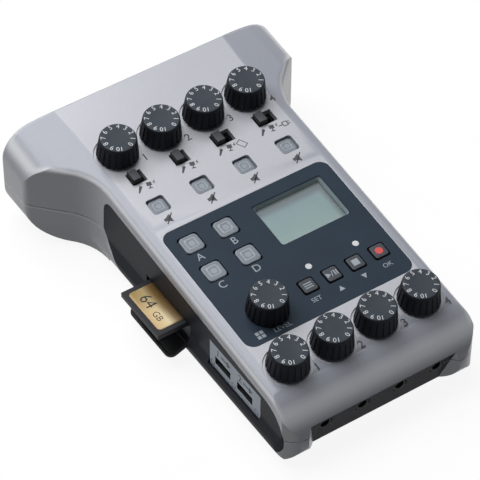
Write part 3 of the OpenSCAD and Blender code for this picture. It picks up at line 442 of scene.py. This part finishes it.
def piece(name, mesh, body, mats, place=PANEL, stands_for=None):
    """Puts a mesh made in mm in its place and lets it ride on a body."""
    bmesh.ops.transform(mesh, matrix=Matrix.Scale(0.001, 4) @ place, verts=mesh.verts)
    bmesh.ops.recalc_face_normals(mesh, faces=mesh.faces)
    data = bpy.data.meshes.new(name)
    mesh.to_mesh(data)
    mesh.free()
    for mat in mats:
        data.materials.append(mat)
    data.shade_smooth()
    data.set_sharp_from_angle(angle=SHARP_EDGE)
    thing = bpy.data.objects.new(name, data)
    scene.collection.objects.link(thing)
    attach(thing, body)
    if stands_for:
        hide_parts(stands_for)


def box_ring(w, l, r, z, at=(0, 0), n=6):
    """A rounded rectangle's outline at height z."""
    out = []
    for sx, sy, start in ((1, 1, 0), (-1, 1, 90), (-1, -1, 180), (1, -1, 270)):
        for k in range(n + 1):
            a = math.radians(start + 90 * k / n)
            out.append((at[0] + sx * (w / 2 - r) + r * math.cos(a), at[1] + sy * (l / 2 - r) + r * math.sin(a), z))
    return out


def round_ring(r, z, at=(0, 0), n=48):
    """A circle at height z."""
    turns = [2 * math.pi * k / n for k in range(n)]
    return [(at[0] + r * math.cos(a), at[1] + r * math.sin(a), z) for a in turns]


def loft(mesh, rings, mats=None, hoop=False):
    """Skins outlines of equal count into a closed body; mats gives each band's material, then the top's.

    A hoop has no ends: its last outline joins its first.
    """
    loops = [[mesh.verts.new(p) for p in ring] for ring in rings]
    if hoop:
        loops.append(loops[0])
    mats = mats or [0] * len(rings)
    for k, (a, b) in enumerate(zip(loops, loops[1:])):
        for i in range(len(a)):
            j = (i + 1) % len(a)
            mesh.faces.new((a[i], a[j], b[j], b[i])).material_index = mats[k]
    if not hoop:
        mesh.faces.new(loops[0][::-1]).material_index = mats[0]
        mesh.faces.new(loops[-1]).material_index = mats[len(rings) - 1]


def ink(mesh, points, place, mat=0):
    """A printed patch: a flat outline just over the surface."""
    made = mesh.faces.new([mesh.verts.new(place @ Vector((x, y, INK_Z))) for x, y in points])
    made.material_index = mat


def ink_bar(mesh, a, b, w, place):
    """A printed stroke from a to b."""
    d = (Vector(b) - Vector(a)).normalized() * w / 2
    n = Vector((-d.y, d.x))
    a, b = Vector(a), Vector(b)
    ink(mesh, [a - n, b - n, b + n, a + n], place)


def ink_disc(mesh, at, r, place, mat=0, n=20):
    """A printed dot."""
    ink(mesh, [(x, y) for x, y, z in round_ring(r, 0, at, n)], place, mat)


def ink_ring(mesh, r, bore, place, mat=0, n=24):
    """A printed ring."""
    loops = [[mesh.verts.new(place @ Vector(p)) for p in round_ring(k, INK_Z, n=n)] for k in (r, bore)]
    for i in range(n):
        j = (i + 1) % n
        mesh.faces.new((loops[0][i], loops[0][j], loops[1][j], loops[1][i])).material_index = mat


def ink_frame(mesh, w, l, line, place):
    """A printed rectangle's outline."""
    for a, b in (((-w, -l), (w, -l)), ((w, -l), (w, l)), ((w, l), (-w, l)), ((-w, l), (-w, -l))):
        ink_bar(mesh, (a[0] / 2, a[1] / 2), (b[0] / 2, b[1] / 2), line, place)


GLYPHS = {}


def glyphs(text, weight):
    """The outline mesh of a short text, one unit high, centred."""
    if (text, weight) not in GLYPHS:
        curve = bpy.data.curves.new("text", "FONT")
        curve.body = text
        curve.align_x = "CENTER"
        curve.align_y = "CENTER"
        curve.resolution_u = 4
        curve.offset = weight
        holder = bpy.data.objects.new("text", curve)
        GLYPHS[text, weight] = bpy.data.meshes.new_from_object(holder)
        bpy.data.objects.remove(holder)
        bpy.data.curves.remove(curve)
    return GLYPHS[text, weight]


def ink_text(mesh, text, size, place, weight=0.012):
    """Printed characters of a given size; weight makes their strokes fuller."""
    source = glyphs(text, weight)
    made = [mesh.verts.new(place @ Vector((v.co.x * size, v.co.y * size, INK_Z))) for v in source.vertices]
    for face in source.polygons:
        mesh.faces.new([made[i] for i in face.vertices])


def at(x, y, turn=0.0, z=0.0):
    """A place on a flat, turned by some degrees."""
    return Matrix.Translation((x, y, z)) @ Matrix.Rotation(math.radians(turn), 4, "Z")


# Knobs: ribbed skirt, smooth rim, sunk middle, and a ring of numbers that turns with it

RIBS = 20
DIAL_Z = 8.788
DIAL_R = 5.12
DIAL_STEP = 31


def knob(name, x, y):
    """A knob's cap with its stem, and its numbers."""
    mesh = bmesh.new()

    def ring(r, z, groove=0.0):
        out = []
        for k in range(RIBS):
            for turn, cut in ((-3.4, 0), (-2.3, 0.75), (0, 1), (2.3, 0.75), (3.4, 0), (6.2, 0), (9, 0), (11.8, 0)):
                a = math.radians(k * 360 / RIBS + turn)
                out.append(((r - cut * groove) * math.cos(a), (r - cut * groove) * math.sin(a), z))
        return out

    def taper(z):
        return 7.7 - (z - 0.3) * 0.95 / 8

    rings = [ring(3.2, 0.3), ring(7.5, 0.3, 0.45), ring(taper(0.5), 0.5, 0.45), ring(taper(3), 3, 0.45),
             ring(taper(7.1), 7.1, 0.42), ring(taper(7.5), 7.5), ring(taper(8.1), 8.1), ring(6.66, 8.45),
             ring(6.5, 8.66), ring(6.28, 8.76), ring(6.05, DIAL_Z), ring(4.6, DIAL_Z), ring(4.2, 8.75),
             ring(2.4, 8.67), ring(0.8, 8.64)]
    loft(mesh, rings, [0] * 8 + [1] * 7)
    loft(mesh, [round_ring(2.6, -6.6, n=32), round_ring(3, -6.2, n=32), round_ring(3, 0.3, n=32)])
    piece(name + "_cap", mesh, name + "_body", [M["knob_black"], KNOB_TOP], PANEL @ at(x, y), name)
    mesh = bmesh.new()
    for value in range(11):
        turn = Matrix.Rotation(math.radians((value - 5) * DIAL_STEP), 4, "Z")
        ink_text(mesh, str(value), 2.6, turn @ Matrix.Translation((0, DIAL_R, DIAL_Z)), weight=0.0)
    piece(name + "_numbers", mesh, name + "_body", [PALE_INK], PANEL @ at(x, y))


for i, x in enumerate(CHANNELS):
    knob(f"gain_knob_{i + 1}", x, 0)
    knob(f"headphone_knob_{i + 1}", x, FRONT_ROW)
knob("pad_volume_knob", *PAD_KNOB)


# Input switches: chamfered sliders

for i in range(4):
    name = f"input_switch_{i + 1}"
    low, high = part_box(name)
    x = 500 * (low[0] + high[0])
    mesh = bmesh.new()
    loft(mesh, [box_ring(3.4, 4.9, 0.25, -2.2), box_ring(3.4, 4.9, 0.25, 1.75), box_ring(3.3, 4.8, 0.25, 2.0),
                box_ring(3.05, 4.55, 0.25, 2.14), box_ring(2.7, 4.2, 0.25, 2.2)], [0, 0, 0, 1, 1])
    loft(mesh, [box_ring(1.6, 1.9, 0.2, -4.4, n=2), box_ring(1.6, 1.9, 0.2, -2.2, n=2)])
    piece(name + "_slider", mesh, name + "_body", [M["black_plastic"], SLIDER_TOP], PANEL @ at(x, SWITCH_ROW), name)


# Translucent keys: soft edge, a raised square ring and the lamp under it

PAD_WIDTH = 7.5


def lit_key(name, x, y, w, top, foot):
    """A key w wide; its soft edge and square are scaled from the sound pads' width."""
    mesh = bmesh.new()
    k = w / PAD_WIDTH
    rings = [box_ring(w, w, 1.7 * k, foot), box_ring(w, w, 1.7 * k, top - 0.6),
             box_ring(w - 0.25, w - 0.25, 1.6 * k, top - 0.22), box_ring(w - 0.8, w - 0.8, 1.4 * k, top - 0.06),
             box_ring(w - 1.4, w - 1.4, 1.2 * k, top - 0.06), box_ring(4.5 * k, 4.5 * k, 0.8 * k, top - 0.08),
             box_ring(4.3 * k, 4.3 * k, 0.8 * k, top), box_ring(3.5 * k, 3.5 * k, 0.7 * k, top),
             box_ring(3.3 * k, 3.3 * k, 0.7 * k, top - 0.1), box_ring(2.3 * k, 2.3 * k, 1.14 * k, top - 0.12),
             box_ring(1.8 * k, 1.8 * k, 0.89 * k, top - 0.12)]
    loft(mesh, rings, [0, 0, 0, 0, 0, 1, 1, 1, 0, 2, 2])
    loft(mesh, [round_ring(1.5, KEY_PIN_FOOT, n=24), round_ring(1.5, foot, n=24)])
    piece(name + "_cap", mesh, name + "_body", [M["frosted_key"], KEY_RING, KEY_LAMP], PANEL @ at(x, y), name)


for i, x in enumerate(CHANNELS):
    lit_key(f"mute_key_{i + 1}", x, MUTE_ROW, 6.4, -0.7, -3.4)
for letter, (x, y) in PADS.items():
    lit_key("sound_pad_" + letter, x, y, PAD_WIDTH, 0.3, -3)


# Transport keys: crowned caps with printed signs

def sign_menu(mesh, place):
    for y in (-0.95, 0, 0.95):
        ink_bar(mesh, (-1.6, y), (1.6, y), 0.42, place)


def sign_play(mesh, place):
    ink(mesh, [(-2.3, -1.1), (-0.5, 0), (-2.3, 1.1)], place)
    ink_bar(mesh, (-0.35, -1.1), (0.35, 1.1), 0.28, place)
    for x in (1.1, 1.95):
        ink_bar(mesh, (x, -1.1), (x, 1.1), 0.46, place)


def sign_stop(mesh, place):
    ink(mesh, [(-1.3, -1.3), (1.3, -1.3), (1.3, 1.3), (-1.3, 1.3)], place)


def sign_record(mesh, place):
    ink_disc(mesh, (0, 0), 1.45, place, 1, 32)


for word, draw in (("menu", sign_menu), ("play", sign_play), ("stop", sign_stop), ("record", sign_record)):
    name = word + "_key"
    mesh = bmesh.new()
    w, top = 5.8, 0.4
    loft(mesh, [box_ring(w, w, 1, -3), box_ring(w, w, 1, top - 0.45), box_ring(w - 0.1, w - 0.1, 1, top - 0.25),
                box_ring(w - 0.35, w - 0.35, 0.9, top - 0.08), box_ring(w - 0.6, w - 0.6, 0.8, top - 0.03),
                box_ring(w - 2, w - 2, 0.6, top)], [1, 1, 1, 1, 0, 0])
    loft(mesh, [round_ring(1.5, KEY_PIN_FOOT, n=24), round_ring(1.5, -3, n=24)])
    place = PANEL @ at(KEYS[word], KEY_ROW)
    piece(name + "_cap", mesh, name + "_body", [M["dark_key"], SLOT_DARK], place, name)
    mesh = bmesh.new()
    draw(mesh, Matrix.Translation((0, 0, top)))
    piece(name + "_sign", mesh, name + "_body", [GREY_INK, RED_INK], place)


# Printing on the silver surface: channel numbers and small signs

def sign_stick(mesh, place):
    """A hand microphone."""
    ink(mesh, [(-0.3, -1.6), (0.3, -1.6), (0.5, 0.7), (-0.5, 0.7)], place)
    ink_disc(mesh, (0, 1.1), 0.62, place)


def sign_capsule(mesh, place):
    """A studio microphone on its foot, with a spark beside it."""
    ink(mesh, [(-1.0, -0.2), (0.9, -0.2), (0.9, 1.5), (-1.0, 1.5)], place)
    ink_bar(mesh, (0, -0.2), (0, -1.3), 0.4, place)
    ink_bar(mesh, (-0.8, -1.3), (0.8, -1.3), 0.4, place)
    ink(mesh, [(1.5, 0.1), (2.5, 1.0), (2.0, 1.1), (2.5, 2.2), (1.3, 1.0), (1.9, 0.9)], place)


def sign_mute(mesh, place):
    """A loudspeaker, struck through."""
    ink(mesh, [(-2.1, -0.7), (-1.2, -0.7), (0.7, -1.9), (0.7, 1.9), (-1.2, 0.7), (-2.1, 0.7)], place)
    ink_bar(mesh, (-1.9, -1.9), (1.9, 1.9), 0.5, place)


def sign_plug(mesh, place):
    """A plug with two pins."""
    ink_bar(mesh, (-2.6, 0), (-0.9, 0), 0.42, place)
    ink_frame(mesh, 1.8, 1.9, 0.36, place)
    for y in (-0.5, 0.5):
        ink_bar(mesh, (0.9, y), (2.0, y), 0.34, place)


mesh = bmesh.new()
for i, x in enumerate(CHANNELS):
    left = x - (1.9 if i < 2 else 4.2)
    ink_text(mesh, str(i + 1), 4.4, at(x + 7.6, -6.3))
    ink_text(mesh, str(i + 1), 4.4, at(x + 8.2, FRONT_ROW - 5.6))
    sign_stick(mesh, at(left, -18.05, -40))
    sign_capsule(mesh, at(left + 4.0, -17.9, -14))
    sign_mute(mesh, at(x + 0.1, -34.1))
ink_frame(mesh, 2.2, 3.4, 0.3, at(13.55, -18.4, 30))
sign_plug(mesh, at(32.0, -18.4))
piece("surface_signs", mesh, "case", [DARK_INK])

# Printing on the slate panel: pad letters, arrows, four squares, three short words
mesh = bmesh.new()
for letter, (x, y) in PADS.items():
    ink_text(mesh, letter.upper(), 4.3, at(x - 0.6, y - 6.5), weight=0.0)
ink_text(mesh, "SET", 2.6, at(-2.8, -89.6), weight=0.0)
ink_text(mesh, "OK", 2.6, at(26.7, -89.8), weight=0.0)
ink(mesh, [(-1.1, -0.9), (1.1, -0.9), (0, 1.1)], at(7.1, -90.0))
ink(mesh, [(-1.1, 0.9), (0, -1.1), (1.1, 0.9)], at(17.1, -89.7))
for dx in (-0.85, 0.85):
    for dy in (-0.85, 0.85):
        spot = at(-27.8 + dx, -92.4 + dy)
        ink(mesh, [(-0.66, -0.66), (0.66, -0.66), (0.66, 0.66), (-0.66, 0.66)], spot)
ink_text(mesh, "LEVEL", 2.7, at(-19.4, -93.4), weight=0.0)
piece("panel_signs", mesh, "case", [GREY_INK])

# Printing on the port plate: a number and an arrow over each port, and small rings
mesh = bmesh.new()
for number, y in (("1", -37.7), ("2", -51.2)):
    spot = SIDE @ Matrix.Translation((-y, 19.2, 0))
    ink_text(mesh, number, 4.4, spot @ Matrix.Translation((-3.0, 0, 0)))
    ink_bar(mesh, (-1.0, 0), (2.8, 0), 0.8, spot)
    ink(mesh, [(2.6, -1.5), (4.8, 0), (2.6, 1.5)], spot)
for y in (-31.7, -44.45, -58.4):
    ink_ring(mesh, 1.25, 0.95, SIDE @ Matrix.Translation((-y, 12.3, 0)), 1)
piece("port_signs", mesh, "case", [DARK_INK, RING_INK], Matrix())

# Display: a sloped inner frame round the window, its slope painted paler than its rim as painted light
mesh = bmesh.new()
loft(mesh, [box_ring(28.98, 19.98, 1.2, -0.25), box_ring(28.9, 19.9, 1.2, -0.12), box_ring(28.3, 19.3, 1.0, -0.2),
            box_ring(27.0, 18.0, 0.8, -1.55), box_ring(28.98, 19.98, 1.2, -1.58)], [0, 0, 1, 0, 0], hoop=True)
piece("display_bezel", mesh, "case", [BEZEL, BEZEL_SLOPE_LIT], PANEL @ at(*DISPLAY))

# Memory card: gold label with a plain size
mesh = bmesh.new()
loft(mesh, [box_ring(20.4, 20.2, 1.5, LABEL_Z - 0.03, LABEL_AT),
            box_ring(20.4, 20.2, 1.5, LABEL_Z - 0.01, LABEL_AT), box_ring(20.2, 20.0, 1.4, LABEL_Z, LABEL_AT)])
piece("card_label", mesh, "sd_card_body", [GOLD], Matrix())
mesh = bmesh.new()
ink_text(mesh, "64", 6.4, at(-45.4, 0.6, -90, LABEL_Z), weight=0.0)
ink_text(mesh, "GB", 3.6, at(-46.2, -7.0, -90, LABEL_Z), weight=0.0)
piece("card_print", mesh, "sd_card_body", [BLACK_INK], Matrix())


# Card door: rounded outer corners, a rim round the inner face, ribs and a stop

def flap_ring(inset, x, n=6):
    """The door's outline; x is measured through its thickness, from the hinge's axis."""
    w, top, r = 13.7 - inset, 9.6 - inset, 3.0 - inset
    out = [(x, -w, 0.2 + inset), (x, w, 0.2 + inset)]
    for side, start in ((1, 0), (-1, 90)):
        for k in range(n + 1):
            a = math.radians(start + 90 * k / n)
            out.append((x, side * (w - r) + r * math.cos(a), top - r + r * math.sin(a)))
    return out


mesh = bmesh.new()
loft(mesh, [flap_ring(0.25, -0.5), flap_ring(0.05, -0.4), flap_ring(0, -0.2), flap_ring(0, 0.25),
            flap_ring(0.06, 0.42), flap_ring(0.2, 0.5), flap_ring(1.0, 0.5), flap_ring(1.15, 0.42),
            flap_ring(1.25, 0.08)])
for r, reach in ((0.5, 13.7), (0.35, 14.7)):
    along_y = Matrix.Rotation(math.radians(-90), 4, "X")
    loft(mesh, [[tuple(along_y @ Vector(p)) for p in round_ring(r, z, n=20)] for z in (-reach, reach)])
for y in (-4.6, 4.6):
    loft(mesh, [[(x, y + dy, z) for dy, z in ((-0.4, 1.6), (0.4, 1.6), (0.4, 8.2), (-0.4, 8.2))] for x in (0.1, 0.4)])
loft(mesh, [[(x, 8.8 + r * math.cos(a), 5 + r * math.sin(a)) for a in (math.radians(15 * k) for k in range(24))]
            for x, r in ((0.1, 1.5), (0.42, 1.4), (0.42, 0.9), (0.16, 0.8))])
piece("sd_door_flap", mesh, "sd_door_body", [M["black_plastic"]], DOOR, "sd_door")

# Nodes that keep their shape and look unlike the rest of their slot
nodes["indicator_lenses"].data.materials[0] = LENS
# painted shade: the USB sockets are darkened to the shade inside the ports
nodes["usb_sockets"].data.materials[0] = PORT_SHADE
nodes["slide_switch_bodies"].data.materials[0] = SLOT_DARK


# Floor, light and camera

AIM_M = Vector((0, 0, 0.02))
FLOOR_GLOW = 0.9
AMBIENT = 0.08


def lamp(name, at_m, size_m, power):
    """A rectangular lamp that looks at the recorder."""
    data = bpy.data.lights.new(name, "AREA")
    data.shape = "RECTANGLE"
    data.size, data.size_y = size_m
    data.energy = power
    thing = bpy.data.objects.new(name, data)
    thing.location = at_m
    thing.rotation_euler = (AIM_M - Vector(at_m)).to_track_quat("-Z", "Y").to_euler()
    scene.collection.objects.link(thing)


def seen_rays(tree):
    """1 for rays that show the background: straight from the camera, off a gloss, or through glass."""
    path = node(tree, "ShaderNodeLightPath").outputs
    return greatest(tree, path["Is Camera Ray"], path["Is Glossy Ray"], path["Is Transmission Ray"])


lamp("key", (-0.1, 0.46, 1.02), (1.0, 0.9), 11.6)
lamp("edge", (-0.47, 0.63, 0.72), (0.7, 0.06), 0.9)

# Floor: pale paper that is seen nearly white, and can be looked through from below
floor_mesh = bmesh.new()
bmesh.ops.create_grid(floor_mesh, x_segments=8, y_segments=8, size=4)
floor_data = bpy.data.meshes.new("floor")
floor_mesh.to_mesh(floor_data)
floor_mesh.free()
floor = bpy.data.objects.new("floor", floor_data)
floor.location.z = -0.0001
scene.collection.objects.link(floor)
paper = bpy.data.materials.new("paper")
paper.use_nodes = True
tree = paper.node_tree
tree.nodes.clear()
grain = node(tree, "ShaderNodeTexNoise", Scale=400.0)
tone = ramp(tree, grain.outputs["Fac"], (0.3, (96, 96, 96)), (0.7, (100, 100, 100)))
diffuse = node(tree, "ShaderNodeBsdfDiffuse", Color=tone)
glow = node(tree, "ShaderNodeEmission", Strength=product(tree, seen_rays(tree), FLOOR_GLOW))
both = tree.nodes.new("ShaderNodeAddShader")
tree.links.new(diffuse.outputs[0], both.inputs[0])
tree.links.new(glow.outputs[0], both.inputs[1])
under = tree.nodes.new("ShaderNodeMixShader")
tree.links.new(surface(tree, "Backfacing"), under.inputs[0])
tree.links.new(both.outputs[0], under.inputs[1])
tree.links.new(node(tree, "ShaderNodeBsdfTransparent").outputs[0], under.inputs[2])
node(tree, "ShaderNodeOutputMaterial", Surface=under.outputs[0])
floor_data.materials.append(paper)

# World: a little light all round, and a white background
world = bpy.data.worlds.new("studio")
scene.world = world
world.use_nodes = True
tree = world.node_tree
back = tree.nodes["Background"]
back.inputs["Color"].default_value = (1, 1, 1, 1)
tree.links.new(ranged(tree, seen_rays(tree), AMBIENT, 1.0), back.inputs["Strength"])

# Camera: fitted to the photo's view
lens = bpy.data.cameras.new("camera")
lens.sensor_width = 36
lens.lens = 217.5
lens.clip_end = 20
camera = bpy.data.objects.new("camera", lens)
right = Vector((0.8334672, -0.5525454, 0.0050928))
down = Vector((-0.4004339, -0.6103198, -0.6834928))
ahead = Vector((0.380769, 0.5676296, -0.7299395))
turn = Matrix((right, -down, -ahead)).transposed().to_4x4()
camera.matrix_world = Matrix.Translation((-0.39254, -0.57397, 0.76414)) @ turn
scene.collection.objects.link(camera)
scene.camera = camera

scene.view_settings.view_transform = "Standard"

bpy.context.view_layer.update()
